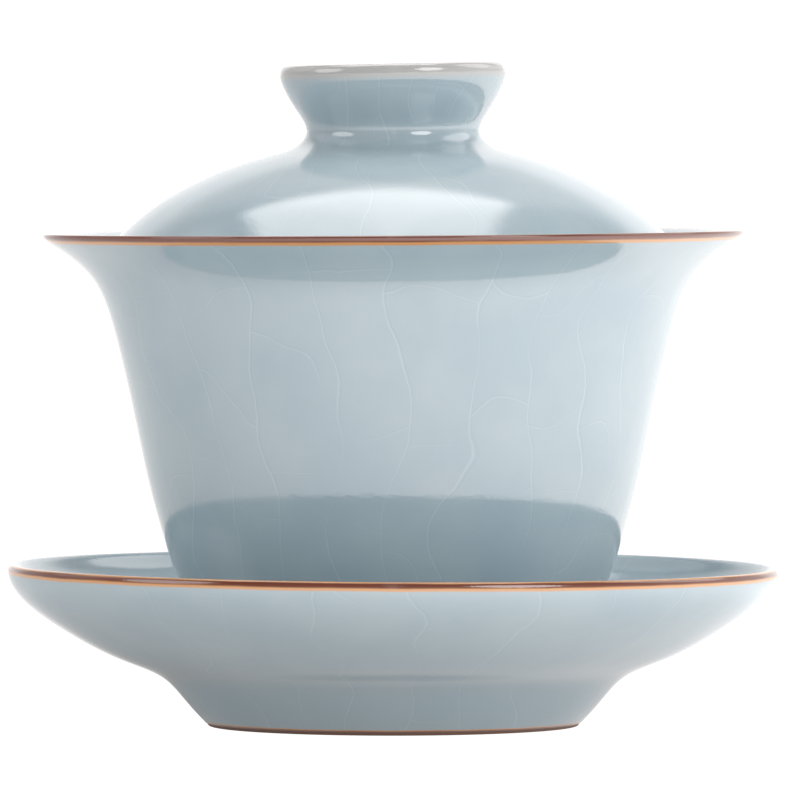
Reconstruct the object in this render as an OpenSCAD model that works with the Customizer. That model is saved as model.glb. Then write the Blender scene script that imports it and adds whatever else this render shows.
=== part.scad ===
// Gaiwan: a flared tea bowl that stands in a saucer under a domed lid.
// Each piece is thrown on the wheel, so it is one closed outline turned about Z.
// The outline is a smooth curve led by a few control points, each [radius, height].
// The origin is the middle of the saucer's foot, on the surface that the saucer stands on.

/* [Saucer] */
// Diameter across the saucer's rim
saucer_d = 110; // [104:0.5:118]
// Height of the saucer's rim above the table
saucer_h = 22.8; // [21:0.1:26]
// Thickness of the saucer's dish
saucer_t = 2.8; // [2.4:0.1:3.2]
// Diameter of the saucer's foot ring where it meets the table
saucer_foot_d = 53; // [51:0.5:56]
// Height of the foot ring, up to the underside of the dish
saucer_foot_h = 8.2; // [7.6:0.1:8.6]
// Diameter of the well that holds the bowl
well_d = 46; // [45:0.5:48]
// Height of the well's floor above the table
well_h = 9; // [8.6:0.1:9.2]

/* [Bowl] */
// Diameter across the bowl's rim
bowl_d = 100; // [98:0.5:106]
// Height of the bowl from its foot to its rim
bowl_h = 61.4; // [60:0.2:66]
// Outside diameter where the straight side ends and the flare begins
waist_d = 82.4; // [82:0.2:83]
// Outside diameter where the straight side begins above the foot
base_d = 65.2; // [62:0.2:67]
// Diameter of the bowl's foot ring
bowl_foot_d = 42; // [38:0.5:43]
// Wall thickness at the foot of the side
bowl_base_t = 3.2; // [2.8:0.1:3.6]
// Wall thickness where the flare begins
bowl_waist_t = 2.4; // [2.2:0.1:2.5]

/* [Lid] */
// Diameter across the lid's edge
lid_d = 83.2; // [82:0.2:83.2]
// Height of the dome, from the lid's edge to the top of its curve
dome_h = 18.2; // [16:0.2:20]
// Thickness of the dome
lid_t = 2.8; // [2.4:0.1:3]
// Diameter across the knob's rim
knob_d = 32.4; // [30:0.2:36]
// Diameter of the knob's neck
neck_d = 24.8; // [23:0.2:26]
// Height of the knob above the top of the dome
knob_h = 10; // [9:0.2:12]

/* [Detail] */
// Steps that each stretch of an outline is drawn in
curve_steps = 5; // [3:1:8]

/* [Hidden] */

glaze = [0.74, 0.82, 0.85];
turns_fn = 96;

saucer_r = saucer_d / 2;
saucer_foot_r = saucer_foot_d / 2;
well_r = well_d / 2;
foot_ring_w = 2.6;

bowl_r = bowl_d / 2;
waist_r = waist_d / 2;
base_r = base_d / 2;
bowl_foot_r = bowl_foot_d / 2;
rest_gap = 0.05; // so that two flat faces at rest never share a place
bowl_z = well_h + rest_gap;

lid_r = lid_d / 2;
knob_r = knob_d / 2;
neck_r = neck_d / 2;
// The lid's edge rests on the inside of the flare, so it sits a little below the bowl's rim.
lid_z = bowl_z + bowl_h - 4.4;

// Weight of each of four neighbouring control points at t, from 0 to 1, along a stretch of the curve
function weights(t) = [
    pow(1 - t, 3) / 6,
    (3 * pow(t, 3) - 6 * pow(t, 2) + 4) / 6,
    (-3 * pow(t, 3) + 3 * pow(t, 2) + 3 * t + 1) / 6,
    pow(t, 3) / 6
];

function mirrored(p) = [-p[0], p[1]];

// The smooth curve (a uniform cubic B-spline) that these points lead, level where it meets the axis
function thrown(points) = let (
    last = len(points) - 1,
    led = concat([mirrored(points[1])], points, [mirrored(points[last - 1])])
) [
    for (i = [0 : last - 1], step = [0 : curve_steps - 1])
        weights(step / curve_steps) * [led[i], led[i + 1], led[i + 2], led[i + 3]],
    weights(1) * [led[last - 1], led[last], led[last + 1], led[last + 2]]
];

// A wall's other face: each point is moved square to the wall by the thickness at its height
function across(points, thickness) = let (last = len(points) - 1) [
    for (i = [0 : last]) let (
        along = points[min(i + 1, last)] - points[max(i - 1, 0)],
        t = lookup(points[i][1], thickness)
    ) points[i] + t * [-along[1], along[0]] / norm(along)
];

function reversed(points) = [for (i = [len(points) - 1 : -1 : 0]) points[i]];

function raised(points, z) = [for (p = points) p + [0, z]];

// A level floor or ceiling, from the axis out to a radius
function level(radius, z) = [for (share = [0 : 3]) [radius * share / 3, z]];

// The recess under a foot ring and the flat that the ring stands on, from the axis out
function foot_ring(outer_r, recess_z) = let (inner_r = outer_r - foot_ring_w) concat(
    level(inner_r - 2.6, recess_z),
    [
        [inner_r - 0.6, 0.7 * recess_z],
        [inner_r - 0.1, 0],
        [inner_r + 0.5, 0],
        [outer_r - 0.7, 0],
        [outer_r - 0.1, 0]
    ]
);

// Saucer: up the outside of the foot ring
saucer_foot_wall = [
    [saucer_foot_r + 1.5, 0.2 * saucer_foot_h],
    [saucer_foot_r + 3.6, 0.5 * saucer_foot_h],
    [saucer_foot_r + 5.8, 0.82 * saucer_foot_h]
];
// Saucer: out along the underside of the dish and up to the rim
saucer_underside = [
    [saucer_foot_r + 8.6, saucer_foot_h],
    [saucer_foot_r + 13.7, saucer_foot_h + 1.7],
    [saucer_r - 9.1, saucer_h - 9.9],
    [saucer_r - 3, saucer_h - 6],
    [saucer_r - 0.4, saucer_h - 3],
    [saucer_r + 0.2, saucer_h - 0.7]
];
saucer_thickness = [
    [saucer_foot_h, saucer_t],
    [saucer_h - 6, saucer_t],
    [saucer_h - 3, 0.8 * saucer_t],
    [saucer_h, 0.5 * saucer_t]
];
// Saucer: down the lip of the well to its floor
well_lip = [
    [well_r + 4, well_h + 2],
    [well_r + 1.8, well_h + 2],
    [well_r + 0.6, well_h + 1.5],
    [well_r, well_h + 0.4],
    [well_r - 0.8, well_h]
];
saucer_outline = concat(
    foot_ring(saucer_foot_r, well_h - saucer_t),
    saucer_foot_wall,
    saucer_underside,
    [[saucer_r - 0.4, saucer_h + 0.3]],
    reversed(across(saucer_underside, saucer_thickness)),
    well_lip,
    reversed(level(well_r - 2.5, well_h))
);

// Bowl: up the outside from the foot ring to the turn into the side
bowl_foot_wall = [
    [bowl_foot_r + 0.3, 1.8],
    [bowl_foot_r + 1.2, 3.6],
    [base_r - 7.2, 5]
];
// Bowl: up the outside of the side and out to the rim
bowl_side = [
    [base_r - 3.8, 8],
    [base_r - 1.8, 11.5],
    [base_r, 17.3],
    [base_r + 0.27 * (waist_r - base_r), 0.41 * bowl_h],
    [base_r + 0.52 * (waist_r - base_r), 0.59 * bowl_h],
    [base_r + 0.78 * (waist_r - base_r), 0.75 * bowl_h],
    [waist_r, bowl_h - 8.8],
    [waist_r + 2.1, bowl_h - 5.5],
    [bowl_r - 3.4, bowl_h - 2.7],
    [bowl_r + 0.4, bowl_h - 0.5]
];
bowl_thickness = [
    [8, bowl_base_t],
    [bowl_h - 8.8, bowl_waist_t],
    [bowl_h - 2.7, 0.85 * bowl_waist_t],
    [bowl_h, 0.4 * bowl_waist_t]
];
bowl_floor = 5.2;
bowl_outline = concat(
    foot_ring(bowl_foot_r, bowl_floor - bowl_base_t),
    bowl_foot_wall,
    bowl_side,
    reversed(across(bowl_side, bowl_thickness)),
    [[base_r - 12, bowl_floor + 0.9]],
    reversed(level(base_r - 17, bowl_floor))
);

// Lid: up the outside of the dome from its edge
dome = [
    [lid_r + 0.4, 1],
    [lid_r - 2.9, 0.24 * dome_h],
    [0.82 * lid_r, 0.47 * dome_h],
    [0.67 * lid_r, 0.66 * dome_h],
    [0.504 * lid_r, 0.82 * dome_h]
];
dome_thickness = [
    [0, 0.7 * lid_t],
    [0.24 * dome_h, lid_t],
    [dome_h, lid_t]
];
// Lid: in to the neck, out to the knob's rim and down inside the knob
knob = [
    [neck_r + 1.8, dome_h - 1.8],
    [neck_r + 0.4, dome_h - 0.7],
    [neck_r - 0.4, dome_h + 0.12 * knob_h],
    [neck_r + 1.7, dome_h + 0.4 * knob_h],
    [knob_r - 0.5, dome_h + 0.69 * knob_h],
    [knob_r + 0.2, dome_h + 0.9 * knob_h],
    [knob_r - 0.4, dome_h + 1.03 * knob_h],
    [knob_r - 1.7, dome_h + 1.02 * knob_h],
    [knob_r - 2.9, dome_h + 0.82 * knob_h],
    [knob_r - 4.3, dome_h + 0.5 * knob_h],
    [neck_r - 2.2, dome_h + 0.2 * knob_h],
    [neck_r - 3.4, dome_h + 0.05 * knob_h]
];
lid_outline = concat(
    level(lid_r / 7, dome_h - lid_t - 0.1),
    [[lid_r / 3, dome_h - lid_t - 1.6]],
    reversed(across([for (i = [1 : 4]) dome[i]], dome_thickness)),
    [[lid_r - 2.3, 0.6], [lid_r - 1, 0], [lid_r, 0]],
    dome,
    knob,
    reversed(level(neck_r - 5.4, dome_h))
);

module turned(outline) {
    rotate_extrude($fn = turns_fn) polygon(thrown(outline));
}

module saucer() {
    color(glaze) turned(saucer_outline);
}

module bowl() {
    color(glaze) turned(raised(bowl_outline, bowl_z));
}

module lid() {
    color(glaze) turned(raised(lid_outline, lid_z));
}

saucer();
bowl();
lid();
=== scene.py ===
"""A gaiwan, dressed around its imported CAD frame.

Three thrown pieces stand on one axis: a saucer, a flared bowl and a domed lid with a hollow
knob. Each piece is one closed outline spun about Z and smoothed by subdivision. All three wear
the same pale blue crackled glaze, which runs thin and brown over the rims and stops short of the
bare clay foot rings. Lengths are in millimetres in the piece classes and in metres in Blender.
"""

from __future__ import annotations

import logging
import math
from dataclasses import dataclass
from enum import Enum

import bmesh
import bpy
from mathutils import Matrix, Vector, noise

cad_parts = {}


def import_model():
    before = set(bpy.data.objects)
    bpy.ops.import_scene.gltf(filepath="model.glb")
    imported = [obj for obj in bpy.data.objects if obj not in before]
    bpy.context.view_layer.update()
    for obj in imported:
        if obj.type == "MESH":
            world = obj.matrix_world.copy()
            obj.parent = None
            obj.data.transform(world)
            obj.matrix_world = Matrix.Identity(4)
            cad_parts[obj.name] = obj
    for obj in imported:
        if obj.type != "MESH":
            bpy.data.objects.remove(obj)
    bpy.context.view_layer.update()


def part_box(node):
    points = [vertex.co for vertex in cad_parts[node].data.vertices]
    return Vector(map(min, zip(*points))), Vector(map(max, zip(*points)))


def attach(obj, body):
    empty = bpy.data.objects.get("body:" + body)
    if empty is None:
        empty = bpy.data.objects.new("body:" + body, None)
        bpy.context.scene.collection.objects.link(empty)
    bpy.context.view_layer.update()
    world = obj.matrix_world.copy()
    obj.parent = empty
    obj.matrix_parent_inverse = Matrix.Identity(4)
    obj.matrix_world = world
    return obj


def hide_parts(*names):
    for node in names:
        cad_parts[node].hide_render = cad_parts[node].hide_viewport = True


LOG = logging.getLogger("gaiwan")

MM = 0.001
WARM_WHITE = (1.0, 0.975, 0.965, 1.0)
# What the camera itself sees of the floor and the room, a little past white.
SEEN_WHITE = 1.1
# How far up each foot ring the clay shows bare, in millimetres.
BARE_CLAY_H = 0.42
FLOAT = "NodeSocketFloat"
# How far each rim rises towards +X, for each unit of radius.
SAUCER_LEAN = -0.006
BOWL_LEAN = 0.006
KNOB_LEAN = 0.02

Point = tuple[float, float]
Colour = tuple[float, float, float]


class Body(Enum):
    """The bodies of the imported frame, each of which carries one piece."""

    SAUCER = "saucer"
    BOWL = "bowl"
    LID = "lid"


# --------------------------------------------------------------------------------------
# Outlines
# --------------------------------------------------------------------------------------


def level(radius: float, height: float) -> list[Point]:
    """Control points of a level floor or ceiling, from the axis out.

    Args:
        radius: How far out the level part reaches.
        height: Its height.

    Returns:
        Four points, so that the subdivided middle stays flat.
    """
    return [(radius * share / 3, height) for share in range(4)]


def across(points: list[Point], thickness: list[Point]) -> list[Point]:
    """The other face of a wall.

    Args:
        points: Control points of the wall's first face.
        thickness: Pairs of height and wall thickness, lowest first.

    Returns:
        Each point moved square to the wall by the thickness at its height.
    """
    last = len(points) - 1
    other = []
    for i, (radius, height) in enumerate(points):
        after = Vector(points[min(i + 1, last)])
        before = Vector(points[max(i - 1, 0)])
        along = (after - before).normalized()
        wall = interpolated(height, thickness)
        other.append((radius - wall * along.y, height + wall * along.x))
    return other


def interpolated(x: float, table: list[Point]) -> float:
    """A value read off straight stretches between known pairs.

    Args:
        x: Where to read.
        table: Pairs of x and value, lowest x first.

    Returns:
        The value at x, held at the ends.
    """
    if x <= table[0][0]:
        return table[0][1]
    for (x0, v0), (x1, v1) in zip(table, table[1:]):
        if x <= x1:
            return v0 + (v1 - v0) * (x - x0) / (x1 - x0)
    return table[-1][1]


@dataclass(frozen=True)
class FootRing:
    """A turned foot ring: the recess under it, its flat and the bare clay below the glaze."""

    outer_r: float
    recess: float
    width: float = 2.6
    clay_h: float = 0.45
    glaze_step: float = 0.15

    def points(self) -> list[Point]:
        """Control points from the axis, under the recess, over the flat and up to the glaze's edge."""
        inner_r = self.outer_r - self.width
        return [
            *level(inner_r - 2.6, self.recess),
            (inner_r - 0.6, 0.7 * self.recess),
            (inner_r - 0.1, 0),
            (inner_r + 0.5, 0),
            (self.outer_r - 0.7, 0),
            (self.outer_r - 0.2, 0),
            (self.outer_r, 0.35 * self.clay_h),
            (self.outer_r + 0.1, self.clay_h),
            (self.outer_r + 0.15 + self.glaze_step, self.clay_h),
            (self.outer_r + 0.45 + self.glaze_step, self.clay_h + 0.35),
        ]


# --------------------------------------------------------------------------------------
# Thrown pieces
# --------------------------------------------------------------------------------------


@dataclass(frozen=True)
class Hand:
    """How far a hand-thrown piece strays from a perfect turning.

    Lean is the rise of the rim towards +X for each unit of radius, and wander the depth of the
    slow waves that the fingers leave.
    """

    lean: float = 0.0
    lean_from: float = 0.0
    lean_to: float = 1.0
    wander: float = 0.04
    wave: float = 26.0
    seed: float = 0.0


@dataclass
class ThrownPiece:
    """A piece made as one closed outline spun about Z."""

    name: str
    body: Body
    slot: str = "sky_glaze"
    spokes: int = 96
    smoothing: int = 2

    def outline(self) -> list[Point]:
        """Control points from the axis underneath to the axis on top, in millimetres."""
        raise NotImplementedError

    def hand(self) -> Hand:
        """How this piece strays from a perfect turning."""
        raise NotImplementedError

    def base(self) -> float:
        """Height of the outline's zero above the table, in metres."""
        return 0.0

    def build(self) -> bpy.types.Object:
        """Spins the outline and makes the piece's object.

        Returns:
            The piece, at the origin, with its place in its mesh.
        """
        shape = bmesh.new()
        # A smoothed ring of n points shrinks by this share, so the net is made larger.
        ring_share = (2 + math.cos(math.tau / self.spokes)) / 3
        base = self.base()
        verts = [
            shape.verts.new((radius * MM / ring_share, 0, height * MM + base))
            for radius, height in self.outline()
        ]
        edges = [shape.edges.new(pair) for pair in zip(verts, verts[1:])]
        bmesh.ops.spin(
            shape,
            geom=verts + edges,
            cent=(0, 0, 0),
            axis=(0, 0, 1),
            angle=math.tau,
            steps=self.spokes,
            use_merge=True,
        )
        bmesh.ops.remove_doubles(shape, verts=shape.verts, dist=0.01 * MM)
        bmesh.ops.recalc_face_normals(shape, faces=shape.faces)
        self.unsettle(shape)
        for face in shape.faces:
            face.smooth = True
        mesh = bpy.data.meshes.new(self.name)
        shape.to_mesh(mesh)
        shape.free()
        piece = bpy.data.objects.new(self.name, mesh)
        bpy.context.scene.collection.objects.link(piece)
        smooth = piece.modifiers.new("smooth", "SUBSURF")
        smooth.levels = self.smoothing
        smooth.render_levels = self.smoothing
        return piece

    def unsettle(self, shape: bmesh.types.BMesh) -> None:
        """Gives the turning its lean and slow waves.

        Args:
            shape: The spun net, changed in place.
        """
        hand = self.hand()
        centre = Vector((0, 0, hand.seed))
        base = self.base()
        for vert in shape.verts:
            height = (vert.co.z - base) / MM
            spot = vert.co / (hand.wave * MM) + centre
            push = noise.noise(spot) * hand.wander * MM
            outward = Vector((vert.co.x, vert.co.y, 0))
            share = interpolated(height, [(hand.lean_from, 0.0), (hand.lean_to, 1.0)])
            tilt = hand.lean * share
            vert.co.z += tilt * vert.co.x
            if outward.length > MM:
                vert.co += outward.normalized() * push * min(1.0, max(0.0, height) / 4)

    def place(self, piece: bpy.types.Object, material: bpy.types.Material) -> None:
        """Dresses the piece and ties it to its body.

        Args:
            piece: The built object.
            material: Its glaze.
        """
        piece.data.materials.append(material)
        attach(piece, self.body.value)
        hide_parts(self.body.value)


@dataclass
class Saucer(ThrownPiece):
    """The dish that the bowl stands in, on its own foot ring."""

    name: str = "saucer_glazed"
    body: Body = Body.SAUCER
    rim_r: float = 55.0
    height: float = 22.8
    wall: float = 2.8
    foot_r: float = 26.5
    foot_h: float = 8.2
    well_r: float = 23.0
    well_h: float = 9.0

    def outline(self) -> list[Point]:
        """Control points up the foot, out under the dish, over the rim and in to the well."""
        foot = FootRing(self.foot_r, self.well_h - self.wall)
        foot_wall = [
            (self.foot_r + 1.75, 0.24 * self.foot_h),
            (self.foot_r + 3.6, 0.5 * self.foot_h),
            (self.foot_r + 5.8, 0.82 * self.foot_h),
        ]
        underside = [
            (self.foot_r + 8.6, self.foot_h),
            (self.foot_r + 13.7, self.foot_h + 1.7),
            (self.rim_r - 9.1, self.height - 9.9),
            (self.rim_r - 3, self.height - 6),
            (self.rim_r - 0.4, self.height - 3),
            (self.rim_r + 0.2, self.height - 0.7),
        ]
        thickness = [
            (self.foot_h, self.wall),
            (self.height - 6, self.wall),
            (self.height - 3, 0.8 * self.wall),
            (self.height, 0.5 * self.wall),
        ]
        well_lip = [
            (self.well_r + 4, self.well_h + 2),
            (self.well_r + 1.8, self.well_h + 2),
            (self.well_r + 0.6, self.well_h + 1.5),
            (self.well_r, self.well_h + 0.4),
            (self.well_r - 0.8, self.well_h),
        ]
        return [
            *foot.points(),
            *foot_wall,
            *underside,
            (self.rim_r - 0.4, self.height + 0.3),
            *reversed(across(underside, thickness)),
            *well_lip,
            *reversed(level(self.well_r - 2.5, self.well_h)),
        ]

    def hand(self) -> Hand:
        """The rim dips a little towards +X, and the foot stays flat."""
        return Hand(lean=SAUCER_LEAN, lean_from=9.0, lean_to=self.height, seed=3.0)


@dataclass
class Bowl(ThrownPiece):
    """The flared tea bowl on its foot ring."""

    name: str = "bowl_glazed"
    body: Body = Body.BOWL
    rim_r: float = 50.0
    height: float = 61.4
    waist_r: float = 41.2
    base_r: float = 32.6
    foot_r: float = 21.0
    base_wall: float = 3.2
    waist_wall: float = 2.4
    floor: float = 5.2

    def base(self) -> float:
        """The bowl stands where the frame's bowl stands."""
        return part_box(self.body.value)[0].z

    def outline(self) -> list[Point]:
        """Control points up the foot and side, over the rim, down inside and across the floor."""
        foot = FootRing(self.foot_r, self.floor - self.base_wall)
        foot_wall = [(self.foot_r + 1.2, 3.6), (self.base_r - 7.2, 5.0)]
        spread = self.waist_r - self.base_r
        side = [
            (self.base_r - 3.8, 8.0),
            (self.base_r - 1.8, 11.5),
            (self.base_r, 17.3),
            (self.base_r + 0.27 * spread, 0.41 * self.height),
            (self.base_r + 0.52 * spread, 0.59 * self.height),
            (self.base_r + 0.78 * spread, 0.75 * self.height),
            (self.waist_r, self.height - 8.8),
            (self.waist_r + 2.1, self.height - 5.5),
            (self.rim_r - 3.4, self.height - 2.7),
            (self.rim_r + 0.4, self.height - 0.5),
        ]
        thickness = [
            (8.0, self.base_wall),
            (self.height - 8.8, self.waist_wall),
            (self.height - 2.7, 0.85 * self.waist_wall),
            (self.height, 0.4 * self.waist_wall),
        ]
        return [
            *foot.points(),
            *foot_wall,
            *side,
            *reversed(across(side, thickness)),
            (self.base_r - 12, self.floor + 0.9),
            *reversed(level(self.base_r - 17, self.floor)),
        ]

    def hand(self) -> Hand:
        """The rim rises a little towards +X."""
        return Hand(lean=BOWL_LEAN, lean_from=6.0, lean_to=self.height, seed=7.0)


@dataclass
class Lid(ThrownPiece):
    """The domed lid with its hollow flared knob."""

    name: str = "lid_glazed"
    body: Body = Body.LID
    edge_r: float = 41.6
    dome_h: float = 18.2
    wall: float = 2.8
    knob_r: float = 16.2
    neck_r: float = 12.4
    knob_h: float = 10.0

    def base(self) -> float:
        """The lid's edge lies where the frame's lid has it."""
        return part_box(self.body.value)[0].z

    def outline(self) -> list[Point]:
        """Control points out under the dome, round its edge, over it and round the knob."""
        edge_drop = 0.03
        dome = [
            (self.edge_r + 0.4, 1.0),
            (self.edge_r - 2.9, 0.24 * self.dome_h),
            (0.82 * self.edge_r, 0.47 * self.dome_h),
            (0.67 * self.edge_r, 0.66 * self.dome_h),
            (0.504 * self.edge_r, 0.82 * self.dome_h),
        ]
        top = self.dome_h
        knob = [
            (self.neck_r + 1.8, top - 1.8),
            (self.neck_r + 0.4, top - 0.7),
            (self.neck_r - 0.4, top + 0.12 * self.knob_h),
            (self.neck_r + 1.7, top + 0.4 * self.knob_h),
            (self.knob_r - 0.5, top + 0.69 * self.knob_h),
            (self.knob_r + 0.2, top + 0.9 * self.knob_h),
            (self.knob_r - 0.4, top + 1.03 * self.knob_h),
            (self.knob_r - 1.7, top + 1.02 * self.knob_h),
            (self.knob_r - 2.9, top + 0.82 * self.knob_h),
            (self.knob_r - 4.3, top + 0.5 * self.knob_h),
            (self.neck_r - 2.2, top + 0.2 * self.knob_h),
            (self.neck_r - 3.4, top + 0.05 * self.knob_h),
        ]
        thickness = [(0.0, 0.7 * self.wall), (0.24 * top, self.wall)]
        points = [
            *level(self.edge_r / 7, top - self.wall - 0.1),
            (self.edge_r / 3, top - self.wall - 1.6),
            *reversed(across(dome[1:], thickness)),
            (self.edge_r - 2.3, 0.6),
            (self.edge_r - 1, 0.0),
            (self.edge_r, 0.0),
            *dome,
            *knob,
            *reversed(level(self.neck_r - 5.4, top)),
        ]
        return [(radius, height - edge_drop) for radius, height in points]

    def hand(self) -> Hand:
        """The knob's rim rises a little towards +X, and the tilt dies out halfway down the dome."""
        return Hand(lean=KNOB_LEAN, lean_from=12.0, lean_to=28.0, seed=11.0)


# --------------------------------------------------------------------------------------
# Shader node groups and finishes
# --------------------------------------------------------------------------------------


class NodeSheet:
    """A small helper that adds and links nodes in one tree."""

    def __init__(self, tree: bpy.types.NodeTree) -> None:
        """Starts on a tree.

        Args:
            tree: Where the nodes and links go.
        """
        self.tree = tree

    def add(self, kind: str, **settings: object) -> bpy.types.Node:
        """Adds a node.

        Args:
            kind: The node's type name.
            **settings: Attributes of the node.

        Returns:
            The node.
        """
        node = self.tree.nodes.new(kind)
        for key, value in settings.items():
            setattr(node, key, value)
        return node

    def wire(self, socket: bpy.types.NodeSocket, value: object) -> None:
        """Sets an input to a plain value, or links an output to it.

        Args:
            socket: The input.
            value: A plain value, or the output to link.
        """
        if isinstance(value, bpy.types.NodeSocket):
            self.tree.links.new(value, socket)
        else:
            socket.default_value = value

    def math(self, operation: str, *values: object, clamp: bool = False) -> bpy.types.NodeSocket:
        """A Math node on numbers or outputs.

        Args:
            operation: The Math node's operation.
            *values: Its inputs in order.
            clamp: Whether to hold the result between 0 and 1.

        Returns:
            The result.
        """
        node = self.add("ShaderNodeMath", operation=operation, use_clamp=clamp)
        for socket, value in zip(node.inputs, values):
            self.wire(socket, value)
        return node.outputs[0]

    def vector(self, operation: str, *values: object) -> bpy.types.Node:
        """A Vector Math node on vectors, numbers or outputs.

        Args:
            operation: The node's operation.
            *values: Its inputs in order.

        Returns:
            The node, whose first output is a vector and second a number.
        """
        node = self.add("ShaderNodeVectorMath", operation=operation)
        for socket, value in zip(node.inputs, values):
            self.wire(socket, value)
        return node

    def scaled(self, vector: object, factor: object) -> bpy.types.NodeSocket:
        """A vector times a number.

        Args:
            vector: A vector or output.
            factor: A number or output.

        Returns:
            The scaled vector.
        """
        node = self.add("ShaderNodeVectorMath", operation="SCALE")
        self.wire(node.inputs["Vector"], vector)
        self.wire(node.inputs["Scale"], factor)
        return node.outputs["Vector"]

    def ramp(
        self, value: object, low: object, high: object, start: object = 0.0, end: object = 1.0
    ) -> bpy.types.NodeSocket:
        """A soft step.

        Args:
            value: What is read.
            low: Where the step starts.
            high: Where it ends.
            start: The result before it.
            end: The result after it.

        Returns:
            The stepped value.
        """
        node = self.add("ShaderNodeMapRange", interpolation_type="SMOOTHSTEP", clamp=True)
        for key, setting in (
            ("Value", value),
            ("From Min", low),
            ("From Max", high),
            ("To Min", start),
            ("To Max", end),
        ):
            self.wire(node.inputs[key], setting)
        return node.outputs["Result"]

    def noise(
        self, vector: object, scale: object, detail: float = 2.0, roughness: float = 0.5
    ) -> bpy.types.Node:
        """A noise texture.

        Args:
            vector: Where it is read.
            scale: Its scale, a number or output.
            detail: How many octaves it has.
            roughness: How strong the finer ones are.

        Returns:
            The node.
        """
        node = self.add("ShaderNodeTexNoise")
        self.wire(node.inputs["Vector"], vector)
        self.wire(node.inputs["Scale"], scale)
        self.wire(node.inputs["Detail"], detail)
        self.wire(node.inputs["Roughness"], roughness)
        return node

    def mix(self, factor: object, first: object, second: object) -> bpy.types.NodeSocket:
        """A mix of two colours.

        Args:
            factor: The second colour's share.
            first: A colour or output.
            second: A colour or output.

        Returns:
            The mixed colour.
        """
        node = self.add("ShaderNodeMix", data_type="RGBA")
        self.wire(node.inputs["Factor"], factor)
        for key, value in (("A", first), ("B", second)):
            socket = next(s for s in node.inputs if s.name == key and s.type == "RGBA")
            if not isinstance(value, bpy.types.NodeSocket):
                value = (*value, 1.0)
            self.wire(socket, value)
        return next(s for s in node.outputs if s.type == "RGBA")

    def group(self, tree: bpy.types.NodeTree, **values: object) -> bpy.types.Node:
        """Places a node group.

        Args:
            tree: The group.
            **values: Its inputs, by name with spaces as underscores.

        Returns:
            The group node.
        """
        node = self.add("ShaderNodeGroup", node_tree=tree)
        for key, value in values.items():
            self.wire(node.inputs[key.replace("_", " ")], value)
        return node


class Effect:
    """A shader node group with named inputs and outputs."""

    def __init__(self, name: str, inputs: dict[str, object], outputs: dict[str, str]) -> None:
        """Makes the empty group.

        Args:
            name: The group's name.
            inputs: Default value of each input; a tuple makes a vector input.
            outputs: Socket type of each output.
        """
        self.tree = bpy.data.node_groups.new(name, "ShaderNodeTree")
        for key, value in inputs.items():
            kind = "NodeSocketVector" if isinstance(value, tuple) else "NodeSocketFloat"
            socket = self.tree.interface.new_socket(key, in_out="INPUT", socket_type=kind)
            socket.default_value = value
        for key, kind in outputs.items():
            self.tree.interface.new_socket(key, in_out="OUTPUT", socket_type=kind)
        self.sheet = NodeSheet(self.tree)
        self.given = self.sheet.add("NodeGroupInput").outputs
        self.made = self.sheet.add("NodeGroupOutput").inputs

    def give(self, **values: bpy.types.NodeSocket) -> bpy.types.NodeTree:
        """Links the group's outputs.

        Args:
            **values: What each output gives, by name with spaces as underscores.

        Returns:
            The finished group.
        """
        for key, value in values.items():
            self.sheet.wire(self.made[key.replace("_", " ")], value)
        return self.tree


def ring_distance_group() -> bpy.types.NodeTree:
    """How far a point lies from a level ring about the axis, with a wavering edge.

    Returns:
        A group that takes a position in millimetres.
    """
    effect = Effect(
        "Ring distance",
        {"Position": (0.0, 0.0, 0.0), "Radius": 50.0, "Height": 60.0, "Lean": 0.0, "Waver": 0.15},
        {"Distance": FLOAT},
    )
    sheet, given = effect.sheet, effect.given
    apart = sheet.add("ShaderNodeSeparateXYZ")
    sheet.wire(apart.inputs[0], given["Position"])
    flat = sheet.add("ShaderNodeCombineXYZ")
    sheet.wire(flat.inputs["X"], apart.outputs["X"])
    sheet.wire(flat.inputs["Y"], apart.outputs["Y"])
    radius = sheet.vector("LENGTH", flat.outputs[0]).outputs["Value"]
    rise = sheet.math("MULTIPLY", apart.outputs["X"], given["Lean"])
    height = sheet.math("SUBTRACT", apart.outputs["Z"], rise)
    offset = sheet.add("ShaderNodeCombineXYZ")
    sheet.wire(offset.inputs["X"], sheet.math("SUBTRACT", radius, given["Radius"]))
    sheet.wire(offset.inputs["Y"], sheet.math("SUBTRACT", height, given["Height"]))
    plain = sheet.vector("LENGTH", offset.outputs[0]).outputs["Value"]
    slow = sheet.noise(given["Position"], 0.12, 2.0).outputs["Fac"]
    swing = sheet.math("MULTIPLY", sheet.math("SUBTRACT", slow, 0.5), given["Waver"])
    return effect.give(Distance=sheet.math("ADD", plain, swing))


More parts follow.
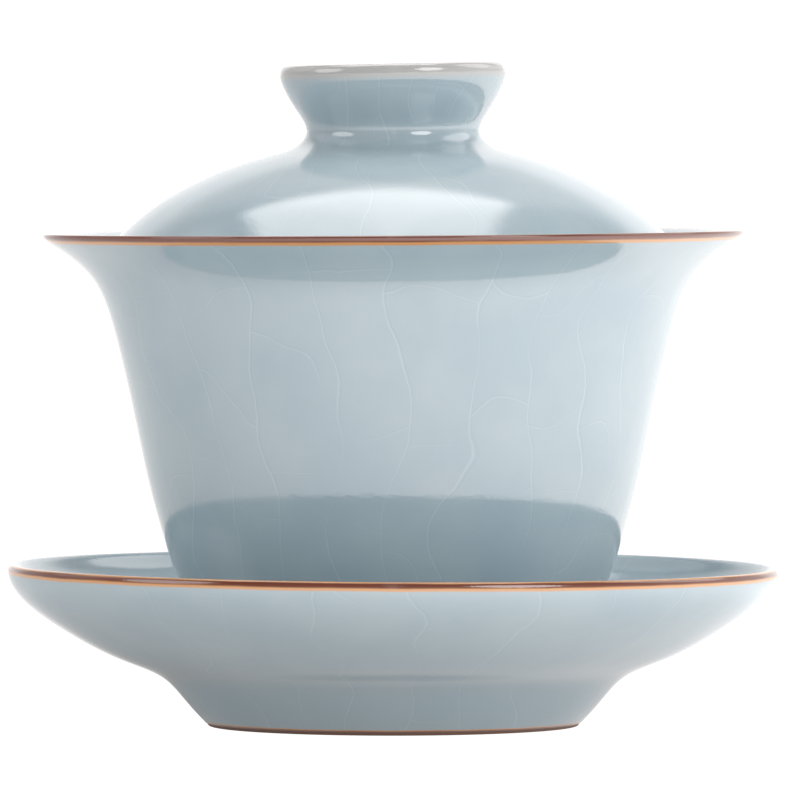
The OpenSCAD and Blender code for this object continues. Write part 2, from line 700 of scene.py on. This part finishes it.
def crackle_group() -> bpy.types.NodeTree:
    """A crackle of long cracks running up the wall, with short ones that stop at them.

    The place is read as a column about the axis and a length along the wall, so that cracks run
    up a side and out across a floor. Cross cracks sit at their own height in each column.

    Returns:
        A group that takes a position in millimetres.
    """
    # The crackle's second output is painted shade: a band along one side of each crack, where its
    # small step would lie in shade.
    effect = Effect(
        "Crackle",
        {"Position": (0.0, 0.0, 0.0), "Columns": 24.0, "Spacing": 21.0, "Width": 0.14, "Cross": 0.8},
        {"Pale": FLOAT, "Dark": FLOAT},
    )
    sheet, given = effect.sheet, effect.given
    half = (0.5, 0.5, 0.5)
    bend_reach, kink_reach = 16.0, 0.9
    bend = sheet.vector("SUBTRACT", sheet.noise(given["Position"], 0.05, 1.0).outputs["Color"], half)
    kink = sheet.vector("SUBTRACT", sheet.noise(given["Position"], 0.22, 2.0).outputs["Color"], half)
    bent = sheet.vector("ADD", given["Position"], sheet.scaled(bend.outputs[0], bend_reach)).outputs[0]
    bent = sheet.vector("ADD", bent, sheet.scaled(kink.outputs[0], kink_reach)).outputs[0]
    apart = sheet.add("ShaderNodeSeparateXYZ")
    sheet.wire(apart.inputs[0], bent)
    flat = sheet.vector("MULTIPLY", bent, (1.0, 1.0, 0.0)).outputs[0]
    radius = sheet.vector("LENGTH", flat).outputs["Value"]
    bearing = sheet.math("ARCTAN2", apart.outputs["Y"], apart.outputs["X"])
    turns = sheet.math("DIVIDE", bearing, math.tau)
    column = sheet.math("MULTIPLY", sheet.math("FRACT", turns), given["Columns"])
    column_width = sheet.math("DIVIDE", sheet.math("MULTIPLY", radius, math.tau), given["Columns"])

    def signed_mm(count: object, size: object) -> bpy.types.NodeSocket:
        """Distance in millimetres from the nearest whole count, below it negative.

        Args:
            count: A number that rises by one from each crack to the next.
            size: How far apart the cracks are, in millimetres.

        Returns:
            The signed distance.
        """
        off = sheet.math("SUBTRACT", sheet.math("FRACT", sheet.math("ADD", count, 0.5)), 0.5)
        return sheet.math("MULTIPLY", off, size)

    def line(off: object, start: float, end: float) -> bpy.types.NodeSocket:
        """A soft line between two offsets, in widths.

        Args:
            off: Signed distance from the crack, in millimetres.
            start: Where the line starts.
            end: Where it ends.

        Returns:
            The line's mask.
        """
        middle, reach = (start + end) / 2, (end - start) / 2
        shifted = sheet.math("SUBTRACT", sheet.math("DIVIDE", off, given["Width"]), middle)
        return sheet.ramp(sheet.math("ABSOLUTE", shifted), 0.25 * reach, reach, 1.0, 0.0)

    own = sheet.add("ShaderNodeTexWhiteNoise", noise_dimensions="1D")
    sheet.wire(own.inputs["W"], sheet.math("FLOOR", column))
    along = sheet.math("ADD", apart.outputs["Z"], radius)
    rise = sheet.math("ADD", sheet.math("DIVIDE", along, given["Spacing"]), own.outputs["Value"])
    sag = sheet.math("SUBTRACT", sheet.noise(given["Position"], 0.04, 1.0).outputs["Fac"], 0.5)
    rise = sheet.math("ADD", rise, sheet.math("MULTIPLY", sag, 1.8))
    up = signed_mm(column, column_width)
    over = signed_mm(rise, given["Spacing"])

    strength = sheet.noise(given["Position"], 0.06, 1.0).outputs["Fac"]
    up_share = sheet.ramp(strength, 0.3, 0.5, 0.3, 1.0)
    over_share = sheet.math("MULTIPLY", sheet.ramp(strength, 0.33, 0.5), given["Cross"])
    # All columns meet on the axis, so the cracks fade out before they get there.
    clear = sheet.ramp(radius, 6.0, 12.0)

    def both(start: float, end: float) -> bpy.types.NodeSocket:
        """Long and cross cracks together.

        Args:
            start: Where each line starts, in widths from its crack.
            end: Where it ends.

        Returns:
            The cracks' mask.
        """
        long_ones = sheet.math("MULTIPLY", line(up, start, end), up_share)
        cross_ones = sheet.math("MULTIPLY", line(over, start, end), over_share)
        return sheet.math("MULTIPLY", sheet.math("MAXIMUM", long_ones, cross_ones), clear)

    # The first mask is the cracks' own pale line; the second is painted shade on one side of each
    # crack.
    return effect.give(Pale=both(-1.0, 1.0), Dark=both(0.5, 3.0))


def glaze_skin_group() -> bpy.types.NodeTree:
    """The skin of a fired glaze: orange peel, slow swells, pinholes and cloudiness.

    Returns:
        A group that takes a position in millimetres and gives heights in millimetres.
    """
    effect = Effect(
        "Glaze skin",
        {"Position": (0.0, 0.0, 0.0), "Peel": 0.014, "Swell": 0.01, "Pinholes": 1.0},
        {"Height": FLOAT, "Cloud": FLOAT, "Pinhole": FLOAT},
    )
    sheet, given = effect.sheet, effect.given
    peel = sheet.noise(given["Position"], 1.6, 2.0, 0.6).outputs["Fac"]
    swell = sheet.noise(given["Position"], 0.09, 1.0, 0.4).outputs["Fac"]
    cloud = sheet.noise(given["Position"], 0.06, 4.0, 0.55).outputs["Fac"]
    spots_per_mm = 0.075
    pinhole_depth = 0.02
    spots = sheet.add("ShaderNodeTexVoronoi", feature="F1")
    sheet.wire(spots.inputs["Vector"], given["Position"])
    sheet.wire(spots.inputs["Scale"], spots_per_mm)
    away = sheet.math("MULTIPLY", spots.outputs["Distance"], 1 / spots_per_mm)
    hole = sheet.ramp(away, 0.1, 0.24, 1.0, 0.0)
    hole = sheet.math("MULTIPLY", hole, given["Pinholes"])
    height = sheet.math(
        "ADD",
        sheet.math("MULTIPLY", peel, given["Peel"]),
        sheet.math("MULTIPLY", swell, given["Swell"]),
    )
    height = sheet.math("SUBTRACT", height, sheet.math("MULTIPLY", hole, pinhole_depth))
    return effect.give(Height=height, Cloud=cloud, Pinhole=hole)


def make_effects() -> dict[str, bpy.types.NodeTree]:
    """Builds every shared shader group once.

    Returns:
        The groups by short name.
    """
    return {
        "ring": ring_distance_group(),
        "crackle": crackle_group(),
        "skin": glaze_skin_group(),
    }


@dataclass(frozen=True)
class Rim:
    """A lip over which the glaze runs thin and the iron in the clay burns through."""

    radius: float
    height: float
    lean: float = 0.0
    dark: float = 0.7
    amber: float = 1.5
    fade: float = 2.0
    burnt: bool = True


@dataclass(frozen=True)
class Foot:
    """The bare foot ring below the glaze's edge, at this height above the table."""

    height: float
    clay_h: float


@dataclass(frozen=True)
class SkyGlaze:
    """Pale blue crackled glaze over iron-bearing stoneware, for one piece."""

    name: str
    rims: tuple[Rim, ...]
    pools: tuple[Rim, ...] = ()
    foot: Foot | None = None
    columns: float = 24.0
    cross_spacing: float = 21.0
    turn_deg: float = 0.0
    shift: float = 0.0
    crack_strength: float = 0.22
    body: Colour = (0.333, 0.428, 0.482)
    thin: Colour = (0.375, 0.467, 0.507)
    # The deep colour is thicker glaze pooled in hollows, and also the painted shade beside the cracks.
    deep_glaze_and_shade: Colour = (0.27, 0.40, 0.47)
    pale: Colour = (0.60, 0.68, 0.71)
    amber: Colour = (0.64, 0.31, 0.12)
    burnt: Colour = (0.14, 0.027, 0.009)
    bone: Colour = (0.42, 0.425, 0.42)
    clay: Colour = (0.13, 0.055, 0.03)
    gloss: float = 0.065

    def material(self, effects: dict[str, bpy.types.NodeTree]) -> bpy.types.Material:
        """Builds the material.

        Args:
            effects: The shared shader groups.

        Returns:
            The finished material.
        """
        material = bpy.data.materials.new(self.name)
        material.use_nodes = True
        tree = material.node_tree
        tree.nodes.clear()
        sheet = NodeSheet(tree)
        place = sheet.add("ShaderNodeTexCoord").outputs["Object"]
        position = sheet.scaled(place, 1 / MM)
        mapping = sheet.add("ShaderNodeMapping")
        sheet.wire(mapping.inputs["Vector"], position)
        sheet.wire(mapping.inputs["Rotation"], (0.0, 0.0, math.radians(self.turn_deg)))
        sheet.wire(mapping.inputs["Location"], (0.0, 0.0, self.shift))
        pattern = mapping.outputs["Vector"]

        skin = sheet.group(effects["skin"], Position=pattern)
        crackle = sheet.group(
            effects["crackle"], Position=pattern, Columns=self.columns, Spacing=self.cross_spacing
        )

        pool_share, crack_shade_share, speck_share = 0.35, 0.9, 0.6
        cloud = sheet.ramp(skin.outputs["Cloud"], 0.3, 0.7)
        colour = sheet.mix(cloud, self.body, self.thin)
        # Thicker glaze pooled in hollows shows a deeper blue.
        for pool in self.pools:
            away = self.away_from(sheet, effects, position, pool)
            deep_glaze_and_shade = sheet.ramp(away, 0.0, pool.fade, pool_share, 0.0)
            colour = sheet.mix(deep_glaze_and_shade, colour, self.deep_glaze_and_shade)
        crack = sheet.math("MULTIPLY", crackle.outputs["Pale"], self.crack_strength)
        colour = sheet.mix(crack, colour, self.pale)
        # Painted shade along one side of each crack, in the deep glaze colour.
        shade = sheet.math("MULTIPLY", crackle.outputs["Dark"], self.crack_strength * crack_shade_share)
        colour = sheet.mix(shade, colour, self.deep_glaze_and_shade)
        speck = sheet.math("MULTIPLY", skin.outputs["Pinhole"], speck_share)
        colour = sheet.mix(speck, colour, self.burnt)
        rough = self.gloss
        for rim in self.rims:
            away = self.away_from(sheet, effects, position, rim)
            colour = self.burn(sheet, colour, away, rim)
        if self.foot is not None:
            colour, rough = self.bare(sheet, colour, position)

        crack_relief = 0.003
        relief = sheet.math("MULTIPLY", crackle.outputs["Pale"], crack_relief)
        height = sheet.math("ADD", skin.outputs["Height"], relief)
        bump = sheet.add("ShaderNodeBump")
        sheet.wire(bump.inputs["Height"], height)
        sheet.wire(bump.inputs["Distance"], MM)
        sheet.wire(bump.inputs["Strength"], 1.0)

        shader = sheet.add("ShaderNodeBsdfPrincipled")
        sheet.wire(shader.inputs["Base Color"], colour)
        sheet.wire(shader.inputs["Roughness"], rough)
        sheet.wire(shader.inputs["Normal"], bump.outputs["Normal"])
        shader.inputs["IOR"].default_value = 1.5
        shader.inputs["Specular IOR Level"].default_value = 1.0
        output = sheet.add("ShaderNodeOutputMaterial")
        sheet.wire(output.inputs["Surface"], shader.outputs["BSDF"])
        return material

    @staticmethod
    def away_from(
        sheet: NodeSheet, effects: dict[str, bpy.types.NodeTree], position: object, ring: Rim
    ) -> bpy.types.NodeSocket:
        """Distance from a ring in millimetres.

        Args:
            sheet: Where the nodes go.
            effects: The shared shader groups.
            position: The place on the piece, in millimetres.
            ring: The ring.

        Returns:
            The distance.
        """
        node = sheet.group(
            effects["ring"],
            Position=position,
            Radius=ring.radius,
            Height=ring.height,
            Lean=ring.lean,
            Waver=0.25,
        )
        return node.outputs["Distance"]

    def burn(
        self, sheet: NodeSheet, colour: object, away: object, rim: Rim
    ) -> bpy.types.NodeSocket:
        """Runs a rim's colours over the glaze.

        Args:
            sheet: Where the nodes go.
            colour: The glaze's colour.
            away: Distance from the rim in millimetres.
            rim: How wide each band is.

        Returns:
            The colour with the rim on it.
        """
        edge = self.amber if rim.burnt else self.bone
        top = self.burnt if rim.burnt else self.bone
        fading = sheet.ramp(away, rim.amber, rim.fade, 1.0, 0.0)
        colour = sheet.mix(fading, colour, edge)
        darker = sheet.ramp(away, rim.dark * 0.6, rim.dark * 1.4, 1.0, 0.0)
        return sheet.mix(darker, colour, top)

    def bare(
        self, sheet: NodeSheet, colour: object, position: object
    ) -> tuple[bpy.types.NodeSocket, bpy.types.NodeSocket]:
        """Bares the clay of the foot ring.

        Args:
            sheet: Where the nodes go.
            colour: The glaze's colour.
            position: The place on the piece, in millimetres.

        Returns:
            The colour, and the roughness that goes with it.
        """
        apart = sheet.add("ShaderNodeSeparateXYZ")
        sheet.wire(apart.inputs[0], position)
        above = sheet.math("SUBTRACT", apart.outputs["Z"], self.foot.height)
        under = sheet.ramp(above, self.foot.clay_h, self.foot.clay_h + 0.12, 1.0, 0.0)
        colour = sheet.mix(under, colour, self.clay)
        rough = sheet.ramp(under, 0.0, 1.0, self.gloss, 0.7)
        return colour, rough


# --------------------------------------------------------------------------------------
# Studio
# --------------------------------------------------------------------------------------


@dataclass(frozen=True)
class Window:
    """A small bright patch in the room, placed by bearing and height.

    Bearing 0 is the camera's side of the table, and +90 is to its right.
    """

    bearing_deg: float
    height_deg: float
    half_width_deg: float
    radiance: float

    def seen(self, sheet: NodeSheet, direction: bpy.types.NodeSocket) -> bpy.types.NodeSocket:
        """Light from the patch.

        Args:
            sheet: Where the nodes go.
            direction: The world's direction.

        Returns:
            Its radiance in that direction.
        """
        bearing, height = math.radians(self.bearing_deg), math.radians(self.height_deg)
        level_share = math.cos(height)
        middle = (level_share * math.sin(bearing), -level_share * math.cos(bearing), math.sin(height))
        facing = sheet.vector("DOT_PRODUCT", direction, middle).outputs["Value"]
        edge = math.cos(math.radians(self.half_width_deg))
        core = math.cos(math.radians(self.half_width_deg * 0.75))
        return sheet.ramp(facing, edge, core, 0.0, self.radiance)


@dataclass(frozen=True)
class Studio:
    """A white floor in a pale room with a broad soft light overhead."""

    floor_size: float = 12.0
    floor_glow: float = 1.25
    # The floor's glow in reflections; with side and front it makes a painted pool of light, brighter
    # to the right and in front.
    floor_shine: float = 1.62
    floor_side: float = 0.6
    floor_front: float = 0.42
    # Painted shadow on the floor's glow round the pieces: its darkest share, and the reach in metres
    # over which it fades.
    shade: float = 0.36
    shade_from: float = 0.025
    shade_to: float = 0.105
    room_walls: float = 0.68
    room_far_walls: float = 0.95
    room_back: float = 1.42
    room_gap: float = 0.85
    room_ceiling: float = 0.4
    room_side: float = 0.4
    softbox: float = 2.9
    windows: tuple[Window, ...] = (
        Window(39.0, 24.0, 16.0, 4.5),
        Window(-75.0, 24.0, 18.0, 2.5),
        Window(110.0, 36.0, 22.0, 1.8),
        Window(-115.0, 35.0, 22.0, 0.5),
    )

    def build(self) -> None:
        """Lays the floor and lights the room."""
        self.floor()
        self.room()
        bpy.context.scene.view_settings.view_transform = "Standard"

    def floor(self) -> None:
        """Lays a white floor that glows a little, as a light table does, and that the camera sees
        plain white. To other rays its glow holds painted light: a painted shadow round the pieces, and
        a painted pool of light brighter towards the right and, in reflections, towards the front, with
        reflections seeing it brighter than the light it sheds.
        """
        shape = bmesh.new()
        bmesh.ops.create_grid(shape, x_segments=1, y_segments=1, size=self.floor_size / 2)
        mesh = bpy.data.meshes.new("floor")
        shape.to_mesh(mesh)
        shape.free()
        floor = bpy.data.objects.new("floor", mesh)
        bpy.context.scene.collection.objects.link(floor)
        material = bpy.data.materials.new("light_table")
        material.use_nodes = True
        tree = material.node_tree
        tree.nodes.clear()
        sheet = NodeSheet(tree)
        place = sheet.add("ShaderNodeTexCoord").outputs["Object"]
        apart = sheet.add("ShaderNodeSeparateXYZ")
        sheet.wire(apart.inputs[0], place)
        least_reach, glow_side = 0.001, 0.25
        reach = sheet.math("MAXIMUM", sheet.vector("LENGTH", place).outputs["Value"], least_reach)
        side = sheet.math("DIVIDE", apart.outputs["X"], reach)
        front = sheet.math("DIVIDE", apart.outputs["Y"], sheet.math("MULTIPLY", reach, -1.0))
        # Painted shadow: round the pieces, the glow that other rays see falls to the darkest share.
        shade = sheet.ramp(reach, self.shade_from, self.shade_to, self.shade, 1.0)
        # Painted pool of light for reflections, brighter towards the right and the front.
        painted_pool = sheet.math("MULTIPLY", side, self.floor_side)
        painted_pool = sheet.math("ADD", painted_pool, sheet.math("MULTIPLY", front, self.floor_front))
        shine = sheet.math("MULTIPLY", sheet.math("ADD", painted_pool, self.floor_shine), shade)
        # The light it sheds has a gentler painted pool of light to the right, under the same painted
        # shadow.
        soft = sheet.math("MULTIPLY", side, glow_side)
        soft = sheet.math("MULTIPLY", sheet.math("ADD", soft, self.floor_glow), shade)
        path = sheet.add("ShaderNodeLightPath")
        lit = sheet.ramp(path.outputs["Is Glossy Ray"], 0.0, 1.0, soft, shine)
        strength = sheet.ramp(path.outputs["Is Camera Ray"], 0.0, 1.0, lit, SEEN_WHITE)
        glow = sheet.add("ShaderNodeEmission")
        glow.inputs["Color"].default_value = WARM_WHITE
        sheet.wire(glow.inputs["Strength"], strength)
        output = sheet.add("ShaderNodeOutputMaterial")
        sheet.wire(output.inputs["Surface"], glow.outputs[0])
        mesh.materials.append(material)

    @staticmethod
    def overhead(sheet: NodeSheet, direction: bpy.types.Node) -> bpy.types.NodeSocket:
        """The soft-edged patch of light above and behind the table.

        Args:
            sheet: Where the nodes go.
            direction: A Separate XYZ node on the world's direction.

        Returns:
            How much of the patch is seen in that direction, from 0 to 1.
        """
        least_up, middle_x = 0.05, -0.07
        side_edge, near_edge, far_edge = (0.38, 0.48), (-0.12, 0.02), (0.55, 0.75)
        up = sheet.math("MAXIMUM", direction.outputs["Z"], least_up)
        across_x = sheet.math("DIVIDE", direction.outputs["X"], up)
        along_y = sheet.math("DIVIDE", direction.outputs["Y"], up)
        off_centre = sheet.math("ABSOLUTE", sheet.math("SUBTRACT", across_x, middle_x))
        wide = sheet.ramp(off_centre, *side_edge, 1.0, 0.0)
        near = sheet.ramp(along_y, *near_edge)
        far = sheet.ramp(along_y, *far_edge, 1.0, 0.0)
        return sheet.math("MULTIPLY", wide, sheet.math("MULTIPLY", near, far))

    def room(self) -> None:
        """Paints the room round the table: white behind, darker towards the camera and the sides."""
        world = bpy.data.worlds.new("studio")
        world.use_nodes = True
        bpy.context.scene.world = world
        tree = world.node_tree
        tree.nodes.clear()
        sheet = NodeSheet(tree)
        direction = sheet.add("ShaderNodeTexCoord").outputs["Generated"]
        apart = sheet.add("ShaderNodeSeparateXYZ")
        sheet.wire(apart.inputs[0], direction)
        least_depth = 0.05
        backdrop_edge, wall_turn = (0.34, 0.85), (-0.2, 0.4)
        ceiling_edge, gap_edge = (0.25, 0.55), (0.42, 0.6)
        depth = sheet.math("MAXIMUM", apart.outputs["Y"], least_depth)
        spread = sheet.math("DIVIDE", sheet.math("ABSOLUTE", apart.outputs["X"]), depth)
        backdrop = sheet.ramp(spread, *backdrop_edge, 1.0, 0.0)
        walls = sheet.ramp(apart.outputs["Y"], *wall_turn, self.room_walls, self.room_far_walls)
        walls = sheet.ramp(apart.outputs["Z"], *ceiling_edge, walls, self.room_ceiling)
        back = sheet.ramp(apart.outputs["Z"], *gap_edge, self.room_back, self.room_gap)
        seen = sheet.ramp(backdrop, 0.0, 1.0, walls, back)
        side = sheet.math("MULTIPLY_ADD", apart.outputs["X"], self.room_side, 1.0)
        lit = sheet.math("MULTIPLY", seen, side)
        lit = sheet.math("ADD", lit, sheet.math("MULTIPLY", self.overhead(sheet, apart), self.softbox))
        for window in self.windows:
            lit = sheet.math("ADD", lit, window.seen(sheet, direction))
        path = sheet.add("ShaderNodeLightPath")
        strength = sheet.ramp(path.outputs["Is Camera Ray"], 0.0, 1.0, lit, SEEN_WHITE)
        glow = sheet.add("ShaderNodeBackground")
        glow.inputs["Color"].default_value = WARM_WHITE
        sheet.wire(glow.inputs["Strength"], strength)
        output = sheet.add("ShaderNodeOutputWorld")
        sheet.wire(output.inputs["Surface"], glow.outputs[0])


@dataclass(frozen=True)
class Eye:
    """The camera: far off, a little below the top of the knob, and almost level."""

    distance: float = 1.56
    height: float = 0.0887
    side: float = 0.00095
    pitch_deg: float = 1.55
    lens: float = 492.0

    def build(self) -> None:
        """Sets the camera up and makes it the scene's own."""
        data = bpy.data.cameras.new("eye")
        data.lens = self.lens
        data.sensor_width = 36.0
        data.clip_start = 0.05
        data.clip_end = 30.0
        camera = bpy.data.objects.new("eye", data)
        camera.location = (self.side, -self.distance, self.height)
        camera.rotation_euler = (math.radians(90 - self.pitch_deg), 0, 0)
        bpy.context.scene.collection.objects.link(camera)
        bpy.context.scene.camera = camera


# --------------------------------------------------------------------------------------
# The gaiwan
# --------------------------------------------------------------------------------------


def main() -> None:
    """Builds the gaiwan round its frame, in order."""
    logging.basicConfig(level=logging.INFO, format="%(name)s: %(message)s")
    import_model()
    Eye().build()
    Studio().build()
    effects = make_effects()

    saucer = Saucer()
    bowl = Bowl()
    lid = Lid()
    bowl_z = bowl.base() / MM
    lid_z = lid.base() / MM
    finishes = {
        Body.SAUCER: SkyGlaze(
            "saucer_sky_glaze",
            rims=(
                Rim(saucer.foot_r + 0.3, 0.3, dark=0.42, amber=0.5, fade=0.75),
                Rim(
                    saucer.rim_r + 0.1,
                    saucer.height - 0.4,
                    lean=SAUCER_LEAN,
                    dark=0.42,
                    amber=0.74,
                    fade=0.95,
                ),
            ),
            pools=(Rim(30.0, 4.0, fade=8.0), Rim(saucer.well_r, saucer.well_h, fade=3.0)),
            foot=Foot(0.0, BARE_CLAY_H),
            crack_strength=0.14,
            turn_deg=40.0,
            shift=112.0,
        ),
        Body.BOWL: SkyGlaze(
            "bowl_sky_glaze",
            rims=(
                Rim(
                    bowl.rim_r + 0.1,
                    bowl_z + bowl.height - 0.4,
                    lean=BOWL_LEAN,
                    dark=0.7,
                    amber=1.3,
                    fade=1.55,
                ),
            ),
            pools=(Rim(bowl.foot_r + 2, bowl_z + 3.5, fade=3.0),),
            foot=Foot(bowl_z, BARE_CLAY_H),
            shift=3.0,
        ),
        Body.LID: SkyGlaze(
            "lid_sky_glaze",
            rims=(
                Rim(lid.edge_r, lid_z + 0.3, dark=0.75, amber=1.15, fade=1.5),
                Rim(
                    lid.knob_r - 1.0,
                    lid_z + lid.dome_h + lid.knob_h,
                    lean=KNOB_LEAN,
                    dark=0.6,
                    amber=1.6,
                    fade=2.4,
                    burnt=False,
                ),
            ),
            columns=18.0,
            crack_strength=0.18,
            turn_deg=75.0,
            shift=230.0,
        ),
    }
    for part in (saucer, bowl, lid):
        piece = part.build()
        part.place(piece, finishes[part.body].material(effects))
        faces = len(piece.data.polygons)
        LOG.info("%s rides on %s, %d faces before smoothing", piece.name, part.body.value, faces)


if __name__ == "__main__":
    main()
